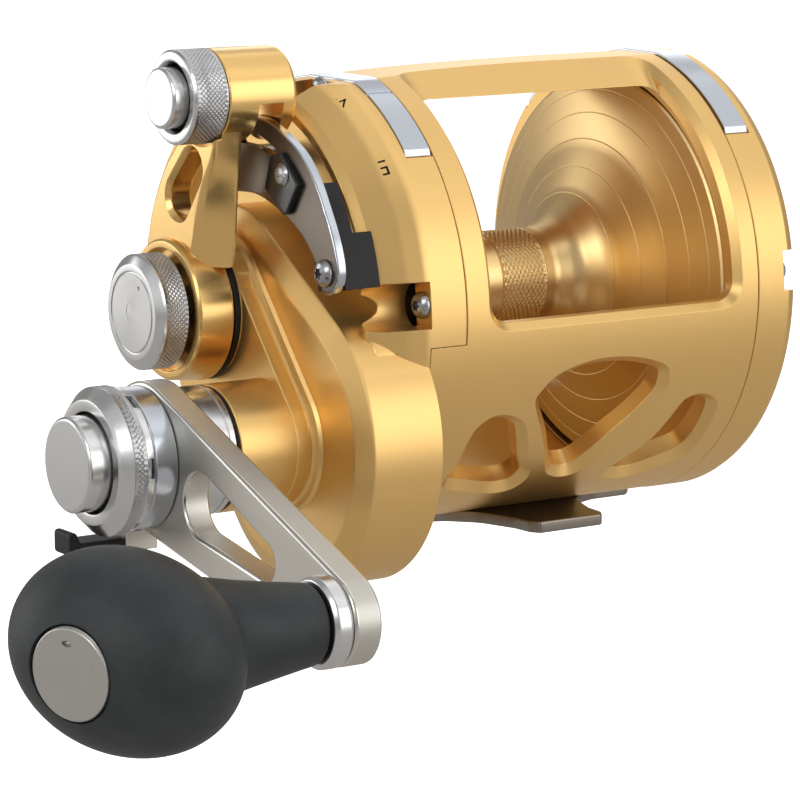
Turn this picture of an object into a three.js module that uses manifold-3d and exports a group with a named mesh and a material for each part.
// Two-speed lever-drag trolling reel in separate solids, millimetres, +Z up.
// Working frame: X runs along the spool axis (y = z = 0) and x = 0 is the joint between the frame
// and the handle-side (right) plate. The handle is at -X, the rod tip at -Y (forward).
// Each mesh is finally moved so that the origin is the centre of the underside of the foot.
import * as THREE from "three";
import { mergeVertices } from "three/addons/utils/BufferGeometryUtils.js";
import Module from "manifold-3d";

const wasm = await Module();
wasm.setup();

// ---------- driving dimensions ----------
const RIM_R = 48; // frame rings and side plates
const WIDTH = 72.4; // frame width between the two plate seams
const AXIS_HEIGHT = 48; // spool axis above the foot underside
const GAP = 0.1; // between mating fixed parts
const SEAT_GAP = 0.05; // under a screw head or the stop

// axes parallel to X, as [y, z]
const SPOOL_AXIS = [0, 0];
const GEAR_AXIS = [-22.1, -24.5]; // 33 mm from the spool axis
const KNOB_AXIS = [-89.9, -43.8];
const LEVER_AXIS = [-11.9, 43.7]; // barrel at the top of the drag lever
const [GEAR_Y, GEAR_Z] = GEAR_AXIS;

const MODULE = 1.5; // gear module
const HIGH_TEETH = { main: 34, pinion: 10 };
const LOW_TEETH = { main: 28, pinion: 16 };
const SPOOL_SHAFT_R = 4;
const GEAR_SHAFT_R = 5.6;
const CASE_R = 30; // gear-case lobe around the gear shaft
const CASE_FACE = -24.3; // the case wall ends here, then chamfers in
const LIP_X = -8.4; // the frame reaches this far under the right plate at the lower front

const SCREW_HOLE_R = 1.75;
const RIGHT_SEAT = -8.4; // floor of the screw channels
const LEFT_SEAT = 79;
// plate screws as [radius, angle]; the left ones stay clear of the rear opening
const RIGHT_SCREWS = [[43.7, 10.5], [44.9, 85], [44.9, -71], [44.9, -149]];
const LEFT_SCREWS = [[43.7, 10.5], [44.9, 85], [44.9, -108], [44.9, -149]];

const TRACK_OUTER = -28.2; // faces of the quadrant plate
const TRACK_INNER = -26.2;
const QUADRANT_SCREW = [42.2, 74.5]; // [radius, angle]
const STRIKE_AXIS = [-26.9, 29]; // screw in the strike stop
const STRIKE_HOLE_R = 1.3;
const CLICK_ANGLE = 118; // radial direction of the clicker

// share of a nominal count that is used as straight segments
const FACET_SHARE = { turned: 0.42, arc: 0.6, hull: 0.62 };

// ---------- finishes ----------
const silver = (roughness) => ({ color: 0xb9bcc0, roughness, metalness: 1 });
const steel = (roughness) => ({ color: 0x8d8f93, roughness, metalness: 1 });
const SILVER_MIRROR = silver(0.15);
const SILVER_POLISHED = silver(0.2);
const SILVER_BRIGHT = silver(0.25);
const SILVER_SATIN = silver(0.3);
const SILVER_MATT = silver(0.35);
const STEEL_POLISHED = steel(0.2);
const STEEL_BRIGHT = steel(0.25);
const STEEL_SATIN = steel(0.3);
const GOLD = { color: 0xd9a441, roughness: 0.35, metalness: 0.9 };
const BRASS = { color: 0xb08a3c, roughness: 0.3, metalness: 1 };
const CHAMPAGNE = { color: 0xc9c4ba, roughness: 0.4, metalness: 0.8 };
const DARK = 0x4a4b4e;
const DARK_METAL = { color: DARK, roughness: 0.4, metalness: 0.9 };
const DARK_SEAL = { color: DARK, roughness: 0.6, metalness: 0.2 };
const DARK_FIBRE = { color: DARK, roughness: 0.8, metalness: 0 };
const black = (roughness, metalness) => ({ color: 0x1b1c1f, roughness, metalness });

// ---------- solids from geometry ----------
function toSolid(geometry) {
  const flat = geometry.index ? geometry.toNonIndexed() : geometry;
  const bare = new THREE.BufferGeometry().setAttribute("position", flat.getAttribute("position"));
  const merged = mergeVertices(bare, 1e-4);
  const positions = merged.getAttribute("position");
  const index = merged.index.array;
  const corners = [];
  for (let i = 0; i < index.length; i += 3) {
    const [a, b, c] = index.slice(i, i + 3);
    if (a !== b && b !== c && a !== c) corners.push(a, b, c);
  }
  const corner = (i) => new THREE.Vector3().fromBufferAttribute(positions, corners[i]);
  let volume = 0;
  for (let i = 0; i < corners.length; i += 3) {
    volume += corner(i).dot(corner(i + 1).cross(corner(i + 2)));
  }
  if (volume < 0) corners.reverse(); // turn the faces outward
  return new wasm.Manifold(new wasm.Mesh({
    numProp: 3,
    vertProperties: new Float32Array(positions.array),
    triVerts: new Uint32Array(corners),
  }));
}
const union = (...solids) => solids.reduce((sum, solid) => sum.add(solid));
const cut = (body, ...tools) => tools.reduce((rest, tool) => rest.subtract(tool), body);

const root = new THREE.Group();
root.name = "trolling_reel";
function addPart(name, solid, finish) {
  const { vertProperties, triVerts } = solid.getMesh();
  const geometry = new THREE.BufferGeometry();
  const positions = new Float32Array(vertProperties);
  geometry.setAttribute("position", new THREE.BufferAttribute(positions, 3));
  geometry.setIndex(new THREE.BufferAttribute(new Uint32Array(triVerts), 1));
  geometry.translate(-WIDTH / 2, 0, AXIS_HEIGHT);
  geometry.computeVertexNormals();
  const mesh = new THREE.Mesh(geometry, new THREE.MeshStandardMaterial({ name, ...finish }));
  mesh.name = name;
  root.add(mesh);
}

// ---------- outlines, as [y, z] points ----------
const DEG = Math.PI / 180;
// angle in degrees from straight up, growing towards -Y (forward)
const polar = (radius, angle, [y, z] = SPOOL_AXIS) =>
  [y - radius * Math.sin(angle * DEG), z + radius * Math.cos(angle * DEG)];

function arc(radius, start, end, nominal, axis) {
  const count = Math.max(1, Math.round(nominal * FACET_SHARE.arc));
  return Array.from({ length: count + 1 }, (_, i) =>
    polar(radius, start + ((end - start) * i) / count, axis));
}

// outline round any number of circles [y, z, radius]
function hull(circles, nominal) {
  const count = Math.max(8, Math.round(nominal * FACET_SHARE.hull));
  const points = [];
  for (const [y, z, radius] of circles) {
    for (let i = 0; i < count; i++) {
      const turned = (2 * Math.PI * (i + 0.5)) / count;
      points.push([y + radius * Math.cos(turned), z + radius * Math.sin(turned)]);
    }
  }
  points.sort((a, b) => a[0] - b[0] || a[1] - b[1]);
  const cross = (o, a, b) => (a[0] - o[0]) * (b[1] - o[1]) - (a[1] - o[1]) * (b[0] - o[0]);
  const halfHull = (source) => {
    const chain = [];
    for (const point of source) {
      while (chain.length > 1 && cross(chain.at(-2), chain.at(-1), point) <= 1e-9) chain.pop();
      chain.push(point);
    }
    chain.pop();
    return chain;
  };
  return [...halfHull(points), ...halfHull([...points].reverse())];
}
// outline round a circle on the spool axis and one on the gear axis
const lobes = (spoolRadius, gearRadius) =>
  hull([[...SPOOL_AXIS, spoolRadius], [...GEAR_AXIS, gearRadius]], 40);

// toothed outline: [radius, angle] points of one tooth, repeated round the axis
function repeatRound(count, tooth, axis, start = 0) {
  const outline = [];
  for (let i = 0; i < count; i++) {
    const centre = start + (360 / count) * i;
    outline.push(...tooth.map(([radius, angle]) => polar(radius, centre + angle, axis)));
  }
  return outline;
}
// `shift` moves the first tooth off the start direction, in pitches
function gearOutline(teeth, axis, start, shift = 0) {
  const pitchRadius = (teeth * MODULE) / 2;
  const tip = pitchRadius + 0.88 * MODULE;
  const rootRadius = pitchRadius - 1.15 * MODULE;
  const pitch = 360 / teeth;
  const tooth = [
    [rootRadius, -0.3 * pitch], [tip, -0.12 * pitch], [tip, 0.12 * pitch], [rootRadius, 0.3 * pitch],
  ];
  return repeatRound(teeth, tooth, axis, start + shift * pitch);
}

// ---------- basic solids ----------
const vectors = (points) => points.map(([u, v]) => new THREE.Vector2(u, v));

function extrude(outline, depth, holes = []) {
  const shape = new THREE.Shape(vectors(outline));
  shape.holes = holes.map((hole) => new THREE.Path(vectors(hole)));
  return new THREE.ExtrudeGeometry(shape, { depth, bevelEnabled: false });
}

// closed profile of [x, radius] points turned about an axis parallel to X
function turn(profile, nominal, [y, z] = SPOOL_AXIS) {
  const segments = Math.max(8, Math.round(nominal * FACET_SHARE.turned));
  const points = [...profile, profile[0]].map(([x, radius]) => new THREE.Vector2(radius, x));
  const geometry = new THREE.LatheGeometry(points, segments);
  geometry.rotateZ(-Math.PI / 2);
  geometry.rotateX(Math.PI / segments);
  geometry.translate(0, y, z);
  return toSolid(geometry);
}
const ring = (inner, outer, from, to, nominal, axis) =>
  turn([[from, inner], [to, inner], [to, outer], [from, outer]], nominal, axis);
const rod = (radius, from, to, nominal, axis) => ring(0, radius, from, to, nominal, axis);

// [y, z] outline extruded along X
function slab(outline, from, to, holes) {
  const geometry = extrude(outline, to - from, holes);
  geometry.applyMatrix4(new THREE.Matrix4().set(0, 0, 1, from, 1, 0, 0, 0, 0, 1, 0, 0, 0, 0, 0, 1));
  return toSolid(geometry);
}
const sector = (inner, outer, start, end, from, to, nominal, axis) =>
  slab([...arc(inner, start, end, nominal, axis), ...arc(outer, end, start, nominal, axis)], from, to);

// straight-sided body between two outlines with the same point count
function skin(first, second, placeFirst, placeSecond) {
  const count = first.length;
  const points = [...first.map(placeFirst), ...second.map(placeSecond)];
  const cap = (outline) => THREE.ShapeUtils.triangulateShape(vectors(outline), []);
  const counterclockwise = THREE.ShapeUtils.area(vectors(first)) > 0;
  const triangles = [
    ...cap(first).map(([a, b, c]) => [a, c, b]),
    ...cap(second).map((triangle) => triangle.map((k) => k + count)),
  ];
  for (let i = 0; i < count; i++) {
    const j = (i + 1) % count;
    if (counterclockwise) triangles.push([i, j, j + count], [i, j + count, i + count]);
    else triangles.push([i, j + count, j], [i, i + count, j + count]);
  }
  const positions = triangles.flat().flatMap((k) => points[k]);
  const attribute = new THREE.Float32BufferAttribute(positions, 3);
  return toSolid(new THREE.BufferGeometry().setAttribute("position", attribute));
}
// between two [y, z] outlines, each at its own x
const loft = (first, firstX, second, secondX) =>
  skin(first, second, ([y, z]) => [firstX, y, z], ([y, z]) => [secondX, y, z]);
// [x, angle] outline carried outward along radii of the spool axis
const radialPrism = (outline, inner, outer) => skin(outline, outline,
  ([x, angle]) => [x, ...polar(inner, angle)], ([x, angle]) => [x, ...polar(outer, angle)]);

// cylinder along a radius of the spool axis
function radialPeg(x, angle, radius, inner, outer, segments) {
  const geometry = new THREE.CylinderGeometry(radius, radius, outer - inner, segments);
  geometry.translate(0, (inner + outer) / 2, 0);
  geometry.rotateX(Math.PI / 2 + angle * DEG);
  geometry.translate(x, 0, 0);
  return toSolid(geometry);
}

// each argument is a [low, high] pair
function box(...ranges) {
  const geometry = new THREE.BoxGeometry(...ranges.map(([low, high]) => high - low));
  geometry.translate(...ranges.map(([low, high]) => (low + high) / 2));
  return toSolid(geometry);
}

// helical compression spring along X
class Helix extends THREE.Curve {
  constructor(pointAt) {
    super();
    this.pointAt = pointAt;
  }
  getPoint(t, target = new THREE.Vector3()) {
    return target.set(...this.pointAt(t));
  }
}
function spring([y, z], { radius, wire, from, to, turns }) {
  const extrudePath = new Helix((t) => {
    const turned = t * turns * 2 * Math.PI;
    const x = from + wire + (to - from - 2 * wire) * t;
    return [x, y + radius * Math.cos(turned), z + radius * Math.sin(turned)];
  });
  const section = Array.from({ length: 5 }, (_, i) => {
    const turned = (i * 2 * Math.PI) / 5;
    return new THREE.Vector2(wire * Math.cos(turned), wire * Math.sin(turned));
  });
  return toSolid(new THREE.ExtrudeGeometry(new THREE.Shape(section), {
    steps: Math.round(turns * 7), bevelEnabled: false, extrudePath,
  }));
}

// button-head hex screw along X; side is the X direction the head faces, seat the x under it
function screw(seat, side, [radius, angle], shank) {
  const axis = polar(radius, angle);
  // [distance above the seat, radius]
  const profile = [
    [-shank, 0], [1.75, 0], [1.75, 1.1], [1.35, 2.1], [0.6, 2.75], [0, 2.75], [0, 1.45],
    [-shank, 1.45],
  ];
  const body = turn(profile.map(([up, r]) => [seat + side * up, r]), 14, axis);
  const hex = [0, 60, 120, 180, 240, 300].map((turned) =>
    [axis[0] + 1.05 * Math.cos(turned * DEG), axis[1] + 1.05 * Math.sin(turned * DEG)]);
  const [low, high] = [seat + side * 0.6, seat + side * 3].sort((a, b) => a - b);
  return cut(body, slab(hex, low, high));
}

// ---------- crown: the flattened top of the housing ----------
const CROWN_Z = 46.65;
const CROWN_HALF_LENGTH = 35;
const REAR_FALL = 0.16; // drop per mm behind the spool axis
const crownZ = (x) => CROWN_Z - 5.5e-6 * Math.max(0, 60 - x) ** 3; // falls to the handle side

// everything above the crown, raised by `up`
function aboveCrown(up, from, to) {
  const top = 80;
  const steps = 12;
  const outline = [[from, top]];
  for (let i = 0; i <= steps; i++) {
    const x = from + ((to - from) * i) / steps;
    outline.push([x, crownZ(x) + up]);
  }
  outline.push([to, top]);
  const block = (yLow, yHigh, fall) => {
    const geometry = extrude(outline, yHigh - yLow);
    geometry.rotateX(Math.PI / 2);
    geometry.translate(0, yHigh, 0);
    const shear = new THREE.Matrix4().set(1, 0, 0, 0, 0, 1, 0, 0, 0, -fall, 1, 0, 0, 0, 0, 1);
    return toSolid(geometry.applyMatrix4(shear));
  };
  return union(block(-CROWN_HALF_LENGTH, 0, 0), block(0, CROWN_HALF_LENGTH, REAR_FALL));
}
// round housing body under the crown, grown by `up` and overlong by 1 at each end
const crownedRound = (up, from, to) =>
  cut(rod(RIM_R + up, from - 1, to + 1, 96), aboveCrown(up, from - 1, to + 1));

// ---------- frame ----------
const FOOT_THICKNESS = 2.4;
const CUT_INNER = 38; // radii that clear the frame wall
const CUT_OUTER = 56;
const FRAME_PROFILE = [ // [x, radius]
  [0, 42.4], [4.8, 42.4], [6, 44.6], [WIDTH - 6, 44.6], [WIDTH - 4.8, 42.4], [WIDTH, 42.4],
  [WIDTH, RIM_R], [0, RIM_R],
];
const WINDOW_BEVEL = [ // [radius, angle]
  [44.5, 24.2], [44.6, 23.6], [47.1, 16], [48, 14], [51, 11], [53, 20], [48, 24.5],
];
const LOWER_OPENINGS = [ // [x, angle]
  [[6.2, 137], [6.4, 121], [8.6, 116.6], [13, 115.2], [18, 119.5], [24.6, 136.5], [24.2, 142],
    [20, 144.2], [11, 142]],
  [[20, 112.8], [21, 108.8], [26, 105], [35, 103], [46, 104.2], [50.6, 107.5], [50.6, 114],
    [44.6, 125.3], [37.2, 139], [32, 138.6], [28.9, 133.5]],
  [[57.5, 119], [61, 116.2], [65.4, 118.3], [66.6, 124], [66, 135], [60.6, 141.3], [51, 145],
    [48.4, 142], [50.2, 135]],
];

// cutters for one upper window with rounded corners; side is 1 at the front, -1 at the rear
function windowCutters(side) {
  const [xLow, xHigh] = [5.2, WIDTH - 4.2];
  const corner = 5.5;
  const cornerAngle = corner / RIM_R / DEG;
  const [low, high] = side > 0 ? [23.7, 93] : [-93, -23.7];
  const opening = (start, end, from, to, nominal) =>
    sector(CUT_INNER, CUT_OUTER, start, end, from, to, nominal);
  const cutters = [
    opening(low + cornerAngle, high - cornerAngle, xLow, xHigh, 14),
    opening(low, high, xLow + corner, xHigh - corner, 16),
  ];
  for (const x of [xLow + corner, xHigh - corner]) {
    for (const angle of [low + cornerAngle, high - cornerAngle]) {
      cutters.push(radialPeg(x, angle, corner, CUT_INNER, CUT_OUTER, 12));
    }
  }
  // broad bevel along the upper edge
  const bevel = WINDOW_BEVEL.map(([radius, angle]) => polar(radius, side * angle));
  cutters.push(slab(bevel, xLow + 2.6, xHigh - 2.6));
  // the rear opening runs right up to the left plate
  if (side < 0) cutters.push(opening(low, high, 40, WIDTH + 1, 16));
  return cutters;
}

function frame() {
  const body = union(
    turn(FRAME_PROFILE, 60),
    sector(42.4, RIM_R - 0.02, 95.3, 175, LIP_X, 0.5, 18), // lip under the right plate
    sector(42.6, 46, 156, 204, 3, WIDTH - 3, 8), // thicker floor over the foot
  );
  return cut(body,
    ...windowCutters(1),
    ...windowCutters(-1),
    ...LOWER_OPENINGS.flatMap((outline) => [1, -1].map((side) =>
      radialPrism(outline.map(([x, angle]) => [x, side * angle]), CUT_INNER, CUT_OUTER))),
    ...RIGHT_SCREWS.map((place) => rod(SCREW_HOLE_R, -9, 4.3, 10, polar(...place))),
    ...LEFT_SCREWS.map((place) =>
      rod(SCREW_HOLE_R, WIDTH - 3.3, WIDTH + 1, 10, polar(...place))),
    // flat seat for the foot
    box([-20, WIDTH + 1], [-17, 17], [-60, -AXIS_HEIGHT + FOOT_THICKNESS + GAP]),
    aboveCrown(0, -12, 90),
  );
}
addPart("frame", frame(), GOLD);

// ---------- foot ----------
const FOOT_QUARTER = [ // [x, y] from the foot centre, forward end first
  [7.8, -33], [9.2, -30.8], [9.6, -26], [12.5, -17.5], [17.5, -12.2], [22, -10.6],
  [30.6, -10.6], [32.6, -8.6],
];
function foot() {
  const quarter = (sideX, sideY) =>
    FOOT_QUARTER.map(([x, y]) => [WIDTH / 2 + sideX * x, sideY * y]);
  const outline = [
    ...quarter(1, 1), ...quarter(1, -1).reverse(),
    ...quarter(-1, -1), ...quarter(-1, 1).reverse(),
  ];
  return toSolid(extrude(outline, FOOT_THICKNESS).translate(0, 0, -AXIS_HEIGHT));
}
addPart("reel_foot", foot(), DARK_METAL);

// ---------- top straps, let into the rims of the two side plates ----------
const STRAP_END_TRIM = [[48.4, 46.4], [47.7, 48.1], [49.5, 49.5], [50, 46]]; // [radius, angle]
const strapSeat = (from, to) =>
  cut(sector(40, 60, -48.6, 48.6, from, to, 26), crownedRound(-0.65, from, to));

function strap(from, to) {
  return cut(sector(40, RIM_R + 0.3, -48, 48, from, to, 30),
    aboveCrown(0.35, from - 1, to + 1),
    crownedRound(-0.55, from, to),
    ...[1, -1].map((side) => slab(
      STRAP_END_TRIM.map(([radius, angle]) => polar(radius, side * angle)), from - 1, to + 1)));
}
const scoreLine = sector(RIM_R - 0.05, RIM_R + 4, 26.1, 26.9, -7.4, 0.6, 2);
addPart("strap_right", cut(strap(-6.4, -0.4), scoreLine), SILVER_POLISHED);
addPart("strap_left", strap(WIDTH + 0.5, WIDTH + 6.3), SILVER_POLISHED);

// ---------- handle-side plate with the gear case ----------
const RIGHT_PLATE_PROFILE = [ // rim, web and quadrant dome: [x, radius]
  [-GAP, 42.6], [-GAP, RIM_R], [-8.8, RIM_R], [-13, 46.6], [-18.4, 43.9], [-20.2, 42.4],
  [-20.2, 40.9], [-14.5, 39.6], [-14.5, 12], [-9.2, 12], [-9.2, 42.6],
];
// outline that opens a screw counterbore out through the rim
const channelOutline = (radius, angle, outer, outerHalf, innerHalf) => [
  polar(outer, angle - outerHalf), polar(outer, angle + outerHalf),
  polar(radius, angle + innerHalf), polar(radius, angle - innerHalf),
];

function gearCase() {
  const frontBulge = hull([[-38.5, -8, 7.2], [-38.5, -26, 13.2], [-30, -12, 8]], 24);
  return union(
    slab(lobes(20, CASE_R), CASE_FACE, LIP_X - GAP),
    slab(frontBulge, -19.5, LIP_X - GAP),
    loft(lobes(19.8, CASE_R - 0.2), CASE_FACE + 0.3, lobes(16.2, CASE_R - 4.4), CASE_FACE - 1.7),
    slab(lobes(14.3, 13.7), -28.4, CASE_FACE),
    slab(lobes(13.4, 12.9), -31.2, -28.3),
    rod(12.75, -43.7, -28, 40, GEAR_AXIS),
    rod(14.3, -31.5, -28, 40),
  );
}

function rightSidePlate() {
  // the dome is trimmed back to a low face over the lower part
  const rim = cut(turn(RIGHT_PLATE_PROFILE, 60), sector(14, 60, 97, 262, -30, -14.6, 30));
  const counterbore = ([radius, angle], boreRadius, nominal) =>
    rod(boreRadius, -40, RIGHT_SEAT, nominal, polar(radius - 0.3, angle));
  const channels = RIGHT_SCREWS.slice(0, 3).flatMap(([radius, angle]) => [
    counterbore([radius, angle], 4.7, 20),
    slab(channelOutline(radius - 0.3, angle, 52, 5.1, 6), -26, RIGHT_SEAT),
  ]);
  return cut(union(rim, gearCase()),
    ...channels,
    counterbore(RIGHT_SCREWS[3], 3.3, 16), // plain, at the lower rear
    ...RIGHT_SCREWS.map((place) => rod(SCREW_HOLE_R, -9, 1, 10, polar(...place))),
    sector(40, 49.5, 95.1, 175.3, LIP_X - GAP, 1, 18), // room for the frame lip
    rod(42.5, -9.3, 1, 60), // drag chamber
    slab(lobes(15, 27.6), -23.8, 0), // gear pocket
    slab(lobes(20.1, 28.7), -10.5, 0), // recess for the bridge plate
    rod(4.6, -50, 0, 24),
    rod(9.4, -44, -38.6, 32, GEAR_AXIS), // bearing seat
    rod(6.6, -50, 0, 24, GEAR_AXIS),
    rod(SCREW_HOLE_R, -21, -10, 10, polar(...QUADRANT_SCREW)),
    aboveCrown(0, -32, 2),
    strapSeat(-6.5, 0.5),
  );
}
addPart("right_side_plate", rightSidePlate(), GOLD);

// ---------- bridge plate inside the gear case ----------
const DOG_PIVOT = polar(17.5, 205, GEAR_AXIS);
function bridgePlate() {
  const plate = cut(slab(lobes(20, 28.6), -10.35, LIP_X - GAP),
    rod(11.1, -12, -7, 32),
    rod(5, -12, -7, 24, GEAR_AXIS));
  const pivotPin = rod(1.4, -12.1, -10, 12, DOG_PIVOT);
  return cut(union(plate, pivotPin), sector(40, 50, 90, 180, LIP_X - 0.02, -7, 12));
}
addPart("bridge_plate", bridgePlate(), GOLD);

// ---------- left side plate ----------
const LEFT_PLATE_PROFILE = [ // [x, radius]
  [WIDTH + GAP, 43], [WIDTH + GAP, RIM_R], [80.4, RIM_R], [82.1, 47.4], [82.6, 46.4],
  [82.4, 43.6], [80.4, 42], [80, 20], [81.6, 17], [81.6, 8.6], [76.2, 8.6], [76.2, 43],
];
function leftSidePlate() {
  const screwCuts = LEFT_SCREWS.flatMap(([radius, angle]) => [
    rod(4.2, LEFT_SEAT, 90, 18, polar(radius - 0.2, angle)),
    slab(channelOutline(radius - 0.3, angle, 54, 4.4, 5.4), LEFT_SEAT, 90),
    rod(SCREW_HOLE_R, 70, 90, 10, polar(radius, angle)),
  ]);
  const clickSlot = hull([21, 33.5].map((radius) => [...polar(radius, CLICK_ANGLE), 2.2]), 12);
  return cut(turn(LEFT_PLATE_PROFILE, 60),
    ...screwCuts,
    slab(clickSlot, 70, 90),
    aboveCrown(0, 70, 92),
    strapSeat(WIDTH - 1, WIDTH + 6.4));
}
addPart("left_side_plate", leftSidePlate(), GOLD);

// ---------- bearings, seals and plate screws ----------
function leftBearingCap() {
  const profile = [
    [81.75, 0], [84, 0], [84.2, 6], [84, 11.5], [83.2, 13.4], [81.75, 13.4],
  ];
  const slot = box([83.3, 90], [-5.2, 5.2], [-0.8, 0.8]);
  return cut(turn(profile, 40), rod(5, 80, 83.2, 20), slot);
}
addPart("left_bearing_cap", leftBearingCap(), SILVER_BRIGHT);
addPart("left_bearing", ring(4.3, 8.45, 76.3, 80.9, 30), STEEL_POLISHED);
addPart("pinion_bearing", ring(8.1, 11, -10.3, -8.55, 30), STEEL_POLISHED);
addPart("gear_shaft_bearing", ring(5.8, 9.3, -43.5, -38.8, 30, GEAR_AXIS), STEEL_POLISHED);
addPart("gear_seal", ring(9.6, 12.5, -44.25, -43.8, 36, GEAR_AXIS), black(0.7, 0));
addPart("hub_seal", ring(10.4, 14.7, -32.9, -31.6, 40), DARK_SEAL);
function addPlateScrews(label, places, seat, side, shank) {
  places.slice(0, 3).forEach((place, i) => addPart(
    `plate_screw_${label}_${i + 1}`, screw(seat + side * SEAT_GAP, side, place, shank),
    SILVER_POLISHED));
}
addPlateScrews("right", RIGHT_SCREWS, RIGHT_SEAT, -1, 12.4);
addPlateScrews("left", LEFT_SCREWS, LEFT_SEAT, 1, 9.6);

// ---------- drag quadrant ----------
const QUADRANT_OUTLINE = [ // [y, z]: outer edge from the top forward and down, then back inside
  [-1.5, 36.6], [-5, 38.1], [-9.5, 39], [-13.7, 39.3], [-18.4, 39], [-23.1, 37.6], [-27.8, 35.6],
  [-32.5, 32.8], [-36.7, 28.5], [-40.1, 23.3], [-43, 18.3], [-44.9, 13.1], [-44.8, 10.1],
  [-43.6, 8.2], [-41.6, 7], [-39.4, 7.4],
  [-38.6, 10], [-37.4, 11.8], [-35.6, 14.1], [-32.8, 16.8], [-29.5, 18.9], [-26.2, 20.5],
  [-22.4, 21.9], [-18.1, 23.2], [-14.2, 23.9], [-10, 23.9], [-5, 23.6], [-1.5, 24.5],
];
const QUADRANT_SLOT = [ // [y, z]
  [-8, 36.2], [-11.4, 36.3], [-15.8, 36], [-19.7, 34.7], [-23.2, 33.3], [-25.5, 32],
  [-24, 30.2], [-20.1, 32.2], [-17.2, 33.1], [-13.8, 33.5], [-10.7, 33.6], [-8, 33.6],
];
const STRIKE_STOP_OUTLINE = [ // [y, z]
  [-22.3, 32.5], [-25.8, 33.3], [-29.8, 30], [-32.4, 27.5], [-28.3, 21.6], [-26.9, 21.1],
  [-20, 25.5],
];
const STRIKE_SCREW_PROFILE = [ // [x, radius]
  [-28, 0], [-30.35, 0], [-30.25, 1.6], [-29.6, 2.3], [-29.55, 2.3], [-29.55, 1.1], [-28, 1.1],
];
const strikeHole = () => rod(STRIKE_HOLE_R, -30, -25, 10, STRIKE_AXIS);

function quadrantPlate() {
  return cut(slab(QUADRANT_OUTLINE, TRACK_OUTER, TRACK_INNER, [QUADRANT_SLOT]),
    rod(SCREW_HOLE_R, -30, -25, 10, polar(...QUADRANT_SCREW)),
    strikeHole());
}
// block at the forward end, with a strip running up along the inboard face of the track
function quadrantBlock() {
  const outerX = TRACK_INNER + GAP;
  const block = union(
    sector(37.6, 45.3, 65.5, 79.5, outerX, -20.4, 8),
    sector(41.8, 45.2, 51.7, 67, outerX, -22.4, 8),
    sector(35.4, 39, 66, 79, -22, -14.6, 6),
    sector(35.4, 38.6, 66, 79, outerX, -14.6, 6),
    sector(44.15, 45.3, 65.5, 79.5, -20.5, -18.15, 8),
  );
  return cut(block, rod(SCREW_HOLE_R, -30, -10, 10, polar(...QUADRANT_SCREW)));
}
function strikeScrew() {
  const [y, z] = STRIKE_AXIS;
  return cut(turn(STRIKE_SCREW_PROFILE, 16, STRIKE_AXIS),
    box([-31, -30], [y - 3, y + 3], [z - 0.3, z + 0.3]));
}
addPart("quadrant_plate", quadrantPlate(), SILVER_SATIN);
addPart("quadrant_block", quadrantBlock(), black(0.6, 0));
addPart("quadrant_post", rod(2.4, TRACK_INNER + GAP, -14.6, 24, polar(30.5, 9)), STEEL_SATIN);
addPart("quadrant_screw", screw(TRACK_OUTER - SEAT_GAP, -1, QUADRANT_SCREW, 13),
  SILVER_POLISHED);
addPart("strike_stop", cut(slab(STRIKE_STOP_OUTLINE, -29.5, TRACK_OUTER - SEAT_GAP), strikeHole()),
  black(0.5, 0.2));
addPart("strike_screw", strikeScrew(), SILVER_POLISHED);

// ---------- spool shaft and preset knob ----------
const PRESET_SPRING_PROFILE = [ // stack of disc springs: [x, radius]
  [-45.9, 4.5], [-44.2, 8.2], [-43.6, 8.2], [-42, 4.5], [-41.4, 4.5], [-43.6, 8.7],
  [-44.2, 8.7], [-46.2, 4.5],
];
const PRESET_KNOB_PROFILE = [ // [x, radius]
  [-48.3, 0], [-48.3, 9.4], [-47.9, 10.6], [-46.8, 11.66], [-41.5, 11.66], [-41.5, 9.2],
  [-46.4, 9.2], [-46.4, 4.15], [-47.75, 4.15], [-47.75, 0],
];
const shaftCollar = ring(SPOOL_SHAFT_R - 0.5, 5.2, 5.2, 6.2, 28);
addPart("spool_shaft", union(rod(SPOOL_SHAFT_R, -47.6, 82.2, 28), shaftCollar), STEEL_POLISHED);
addPart("preset_spring", turn(PRESET_SPRING_PROFILE, 32), STEEL_SATIN);
addPart("preset_knob", cut(turn(PRESET_KNOB_PROFILE, 48), ring(7.9, 8.4, -49, -48.05, 32)),
  SILVER_SATIN);

// ---------- drag lever ----------
// [y, z] outlines with matching points: outboard face and inboard face
const LEVER_OUTBOARD = [
  [10.1, 10.6], [9.3, 14.2], [7.1, 20.4], [2.8, 27.8], [-2.9, 33.8], [-6, 37.5],
  [-18.4, 38.4], [-16.6, 32], [-12.9, 25.5], [-10.2, 19.1], [-8.6, 13.2], [-7.6, 9.5],
];
const LEVER_INBOARD = [
  [11, 10.6], [10.2, 14.4], [8.2, 20.6], [3.6, 28.2], [-2.3, 34.2], [-5.6, 37.5],
  [-18.6, 38.4], [-17.6, 32], [-16.7, 25.5], [-16.1, 19.5], [-15.6, 14.4], [-14.6, 9.5],
];
const LEVER_HUB_PROFILE = [ // [x, radius]
  [-40.9, 12.4], [-40.9, 13.7], [-40.4, 14.2], [-33.1, 14.8], [-33.1, 10.2], [-38.4, 10.2],
  [-38.4, 12.4],
];
const LEVER_RING_PROFILE = [
  [-37.75, 6.7], [-37.75, 9.35], [-45, 9.35], [-45.5, 8.9], [-45.5, 7.2], [-44.6, 6.7],
];
const LEVER_BUTTON_PROFILE = [
  [-48.4, 0], [-48.4, 5.4], [-47.8, 6], [-41.2, 6], [-41.2, 4.6], [-46.2, 4.6], [-46.2, 0],
];
const LEVER_CAM_PROFILE = [
  [-37.8, 4.5], [-37.8, 10], [-34.2, 10], [-33.4, 8.5], [-33.2, 8.5], [-33.2, 4.5],
];

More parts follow.
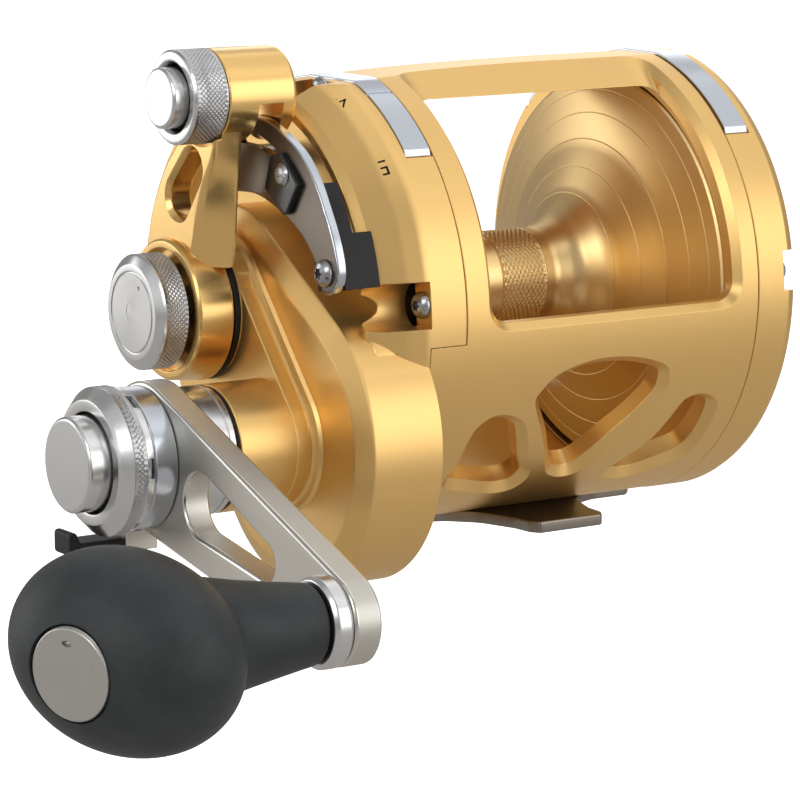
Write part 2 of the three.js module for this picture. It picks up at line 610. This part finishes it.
function dragLever() {
  const armWindow = hull([[-8.4, 29.1, 3.7], [-3, 22.8, 4.2]], 20);
  let lever = loft(LEVER_OUTBOARD, -39.2, LEVER_INBOARD, -33.1);
  lever = cut(lever, rod(10, -45, -37.65, 28, LEVER_AXIS)); // clears the lever ring
  lever = union(lever, rod(9.3, -37.6, -22.1, 36, LEVER_AXIS)); // barrel
  lever = cut(lever, slab(armWindow, -45, -30));
  lever = union(lever, turn(LEVER_HUB_PROFILE, 44));
  // cam recess inboard, knob recess outboard, and the web between them
  lever = cut(lever, rod(10.2, -38.4, -30, 36), rod(12.4, -50, -38.4, 36));
  lever = union(lever, ring(6.4, 11, -38.9, -38, 36));
  return cut(lever,
    sector(20, 47.3, -4, 36, -30.9, -25.4, 14), // slot that straddles the track and the stop
    rod(6.5, -60, -33.5, 28, LEVER_AXIS)); // bore for the button and its spring
}
addPart("drag_lever", dragLever(), GOLD);
addPart("lever_ring", turn(LEVER_RING_PROFILE, 44, LEVER_AXIS), SILVER_MATT);
addPart("lever_button", turn(LEVER_BUTTON_PROFILE, 32, LEVER_AXIS), SILVER_POLISHED);
addPart("lever_button_spring",
  spring(LEVER_AXIS, { radius: 3.4, wire: 0.5, from: -45.9, to: -33.7, turns: 5.5 }), STEEL_SATIN);
const camSlot = box([-40, -36.2], [-1.5, 1.5], [3, 12]);
addPart("lever_cam", cut(turn(LEVER_CAM_PROFILE, 32), camSlot), STEEL_BRIGHT);

// ---------- gear shaft, main gears and anti-reverse ----------
const GEAR_TO_SPOOL = Math.atan2(GEAR_Y, -GEAR_Z) / DEG; // direction as a polar() angle
const gearBore = (radius) => rod(radius, -30, 0, 30, GEAR_AXIS);
const mainGear = (teeth, from, to, boreRadius) =>
  cut(slab(gearOutline(teeth, GEAR_AXIS, GEAR_TO_SPOOL), from, to), gearBore(boreRadius));

function gearShaft() {
  const squareHalf = 4.1;
  const square = box([-63.2, -58], [GEAR_Y - squareHalf, GEAR_Y + squareHalf],
    [GEAR_Z - squareHalf, GEAR_Z + squareHalf]);
  return cut(union(
    rod(GEAR_SHAFT_R, -58.8, -23.4, 30, GEAR_AXIS),
    rod(4.7, -23.5, -8.8, 30, GEAR_AXIS),
    square.intersect(rod(5, -64, -57, 30, GEAR_AXIS)),
  ), rod(2.4, -70, -12, 20, GEAR_AXIS));
}
function ratchetWheel() {
  const tooth = [[8.4, 0], [11, 3], [10.9, 6], [8.6, 22]]; // [radius, angle]
  return cut(slab(repeatRound(14, tooth, GEAR_AXIS), -12.1, -10.7), gearBore(4.8));
}
function antiReverseDog() {
  const tip = polar(11.9, 232, GEAR_AXIS);
  return cut(slab(hull([[...DOG_PIVOT, 2.7], [...tip, 0.7]], 16), -12.1, -10.75),
    rod(1.6, -13, -10, 12, DOG_PIVOT));
}
addPart("gear_shaft", gearShaft(), STEEL_BRIGHT);
addPart("main_gear_high", mainGear(HIGH_TEETH.main, -23, -18.2, 4.8), BRASS);
addPart("main_gear_low", mainGear(LOW_TEETH.main, -17.2, -12.6, 5), BRASS);
addPart("ratchet_wheel", ratchetWheel(), STEEL_SATIN);
addPart("anti_reverse_dog", antiReverseDog(), STEEL_SATIN);

// ---------- handle and speed shift ----------
const COLLAR_PROFILE = [ // [x, radius], as are the next three
  [-52.5, 5.9], [-44.5, 5.9], [-44.5, 12.4], [-44.7, 12.75], [-52.1, 12.75], [-52.5, 12.4],
];
const NUT_BASE_PROFILE = [
  [-58.5, 5.9], [-58.5, 13.6], [-58.9, 13.9], [-63.1, 13.9], [-63.6, 13.5], [-63.6, 10.3],
  [-62.9, 10.3], [-62.9, 5.9],
];
const NUT_PROFILE = [
  [-65.5, 10.2], [-65.5, 14.6], [-68.3, 14.6], [-70.2, 12.7], [-70.7, 12.2], [-70.7, 10],
  [-69, 9.7],
];
const SHIFT_BUTTON_PROFILE = [
  [-75.3, 0], [-75.3, 8.7], [-74.6, 9.35], [-66, 9.35], [-66, 8], [-73.4, 8], [-73.4, 0],
];

function handleArm() {
  const armLength = Math.hypot(KNOB_AXIS[0] - GEAR_Y, KNOB_AXIS[1] - GEAR_Z);
  // point on the arm's centre line, by distance from the gear axis
  const along = (distance) =>
    GEAR_AXIS.map((start, i) => start + (distance * (KNOB_AXIS[i] - start)) / armLength);
  const arm = cut(slab(hull([[...GEAR_AXIS, 14.7], [...KNOB_AXIS, 8.6]], 48), -58.4, -52.6),
    slab(hull([[...along(22.5), 6.3], [...along(46.5), 3.6]], 24), -60, -50),
    rod(5.75, -70, -50, 30, GEAR_AXIS),
    rod(3.1, -70, -50, 20, KNOB_AXIS));
  const latchBlock = cut(box([-62, -55], [GEAR_Y + 1, GEAR_Y + 8], [-43.2, -37.5]),
    rod(14.75, -70, -58.4, 30, GEAR_AXIS));
  return union(arm, latchBlock);
}
function nutLockRing() {
  const notches = [0, 60, 120, 180, 240, 300].map((start) => {
    const inner = 12.9;
    const wedge = [[14.8, start + 28], [inner, start + 21], [inner, start + 35]];
    return union(
      slab(wedge.map(([radius, angle]) => polar(radius, angle, GEAR_AXIS)), -66, -63),
      sector(inner, 16, start + 20, start + 36, -66, -63, 3, GEAR_AXIS));
  });
  return cut(ring(10.4, 14.2, -65.4, -63.75, 44, GEAR_AXIS), ...notches);
}
function shiftLatch() {
  const [rear, front] = [GEAR_Y + 7.8, GEAR_Y + 1.2];
  const head = [
    [front, -40.6], [front, -42.8], [rear, -42.8], [rear, -40.6],
    [GEAR_Y + 6.4, -38.3], [GEAR_Y + 2.4, -38.3],
  ];
  return union(box([-74.2, -62.4], [front, rear], [-43, -40.4]), slab(head, -74.2, -71.8));
}
addPart("handle_collar", turn(COLLAR_PROFILE, 44, GEAR_AXIS), SILVER_MATT);
addPart("handle_arm", handleArm(), CHAMPAGNE);
addPart("nut_base", turn(NUT_BASE_PROFILE, 44, GEAR_AXIS), SILVER_MIRROR);
addPart("nut_lock_ring", nutLockRing(), SILVER_POLISHED);
addPart("handle_nut", turn(NUT_PROFILE, 48, GEAR_AXIS), SILVER_MATT);
const shiftRod = rod(1.9, -74, -18, 16, GEAR_AXIS);
addPart("shift_button", union(turn(SHIFT_BUTTON_PROFILE, 40, GEAR_AXIS), shiftRod), SILVER_MIRROR);
addPart("shift_spring",
  spring(GEAR_AXIS, { radius: 6.2, wire: 0.55, from: -73.2, to: -63.1, turns: 4 }), STEEL_SATIN);
addPart("shift_latch", shiftLatch(), black(0.5, 0.1));

// ---------- knob: tapered neck and an egg tilted off the spin axis ----------
const GRIP_X = -100.3; // centre of the egg
const GRIP_RADII = new THREE.Vector3(17.4, 22.9, 18.2); // along cap, long and cross axes
const SPINDLE_FLANGE_PROFILE = [ // [x, radius]
  [-58.55, 0], [-58.55, 8.1], [-59, 8.6], [-61.8, 8.6], [-62.4, 8], [-62.4, 0],
];
const KNOB_NECK_PROFILE = [
  [-62.6, 0], [-62.6, 7.3], [-63.2, 7.8], [-70, 8.6], [-78, 9.9], [-86, 11.6], [-95, 12], [-95, 0],
];
const capAxis = new THREE.Vector3(-0.905, -0.375, -0.06).normalize();
const longAxis = new THREE.Vector3(0.396, -0.898, -0.192);
longAxis.addScaledVector(capAxis, -longAxis.dot(capAxis)).normalize();
const crossAxis = new THREE.Vector3().crossVectors(capAxis, longAxis);
const gripFrame = new THREE.Matrix4().makeBasis(capAxis, longAxis, crossAxis)
  .setPosition(GRIP_X, ...KNOB_AXIS);

// cylinder on the cap axis, between two distances from the egg's centre
function capCylinder(radius, from, to, segments) {
  const geometry = new THREE.CylinderGeometry(radius, radius, to - from, segments);
  geometry.translate(0, (from + to) / 2, 0);
  geometry.rotateZ(-Math.PI / 2);
  return toSolid(geometry.applyMatrix4(gripFrame));
}
function knob() {
  const egg = new THREE.SphereGeometry(1, 18, 10);
  egg.rotateZ(-Math.PI / 2); // poles along the cap axis
  egg.applyMatrix4(gripFrame.clone().scale(GRIP_RADII));
  return cut(union(toSolid(egg), turn(KNOB_NECK_PROFILE, 32, KNOB_AXIS)),
    capCylinder(8.9, 14.6, 30, 30), // recess for the cap
    rod(3.3, GRIP_X, -50, 20, KNOB_AXIS));
}
addPart("knob_spindle", union(
  rod(2.9, -100, -52.9, 20, KNOB_AXIS),
  turn(SPINDLE_FLANGE_PROFILE, 36, KNOB_AXIS)), SILVER_POLISHED);
addPart("knob", knob(), black(0.75, 0));
addPart("knob_cap", capCylinder(8.6, 14.75, 16.2, 32), SILVER_MATT);

// ---------- pinions and drag ----------
// a tooth space faces the gear shaft
const pinion = (teeth, from, to) =>
  slab(gearOutline(teeth, SPOOL_AXIS, GEAR_TO_SPOOL + 180, 0.5), from, to);
const pinionBore = () => rod(4.4, -30, 0, 24);
const DRAG_PLATE_PROFILE = [ // [x, radius]
  [-7.2, 4.6], [-7.2, 12], [-5.6, 13.5], [-6.9, 15.5], [-6.9, 36], [-4.1, 36], [-4.1, 4.6],
];
addPart("pinion_high", cut(pinion(HIGH_TEETH.pinion, -23.2, -18), pinionBore()), STEEL_SATIN);
addPart("pinion_low", cut(union(
  pinion(LOW_TEETH.pinion, -17.3, -12.2),
  rod(7.8, -12.4, -7.3, 30),
  rod(5.4, -17.9, -17, 24)), pinionBore()), STEEL_SATIN);
addPart("drag_plate", turn(DRAG_PLATE_PROFILE, 56), STEEL_POLISHED);
addPart("drag_washer", ring(13, 37, -3.8, -2.1, 56), DARK_FIBRE);

// ---------- spool ----------
const SPOOL_PROFILE = [ // [x, radius]
  [-2, 8.2], [-2, 38.5], [-1.2, 41.5],
  [4.4, 41.5], [8.2, 27.5], [13, 16.5], [17.5, 11.6], [22.5, 10], // right flange to arbor
  [48.8, 10], [53.6, 11.6], [58.4, 16.5], [63.8, 27.5], [68.2, 41.5], // arbor to left flange
  [70.2, 41.5], [70.6, 40.8], [70.6, 12], [71, 9], [73.8, 9], [73.8, 8.2],
  [64.4, 8.2], [64.4, 4.9], [4.4, 4.9], [4.4, 8.2], // bore and bearing seats
];
function clickGear() {
  const tooth = [[12, -8], [13.6, -2.5], [13.6, 2.5], [12, 8]]; // [radius, angle]
  return cut(slab(repeatRound(14, tooth, SPOOL_AXIS), 71.3, 73.6), rod(9.6, 70, 75, 32));
}
addPart("spool", cut(turn(SPOOL_PROFILE, 50), rod(5.6, 4.4, 7.2, 28)), GOLD);
addPart("spool_bearing_right", ring(4.2, 8, -1.8, 3.2, 28), STEEL_POLISHED);
addPart("spool_bearing_left", ring(4.2, 8, 65.2, 70.2, 28), STEEL_POLISHED);
addPart("click_gear", clickGear(), BRASS);

// ---------- clicker ----------
const CLICK_AXIS = polar(31, CLICK_ANGLE);
const PAWL_OUTLINE = [[18, 0], [20.5, 5], [31, 4], [31, -4], [20.5, -5]]; // [radius, angle]
const CLICK_BUTTON_PROFILE = [[80.6, 0], [84.6, 0], [85, 2.6], [84.4, 3.8], [80.6, 4.2]];
addPart("click_pawl", union(
  slab(PAWL_OUTLINE.map(([radius, angle]) => polar(radius, CLICK_ANGLE + angle)), 71.6, 73.4),
  rod(1.7, 71.8, 80.3, 14, CLICK_AXIS)), STEEL_SATIN);
addPart("click_button", turn(CLICK_BUTTON_PROFILE, 28, CLICK_AXIS), GOLD);

export default root;
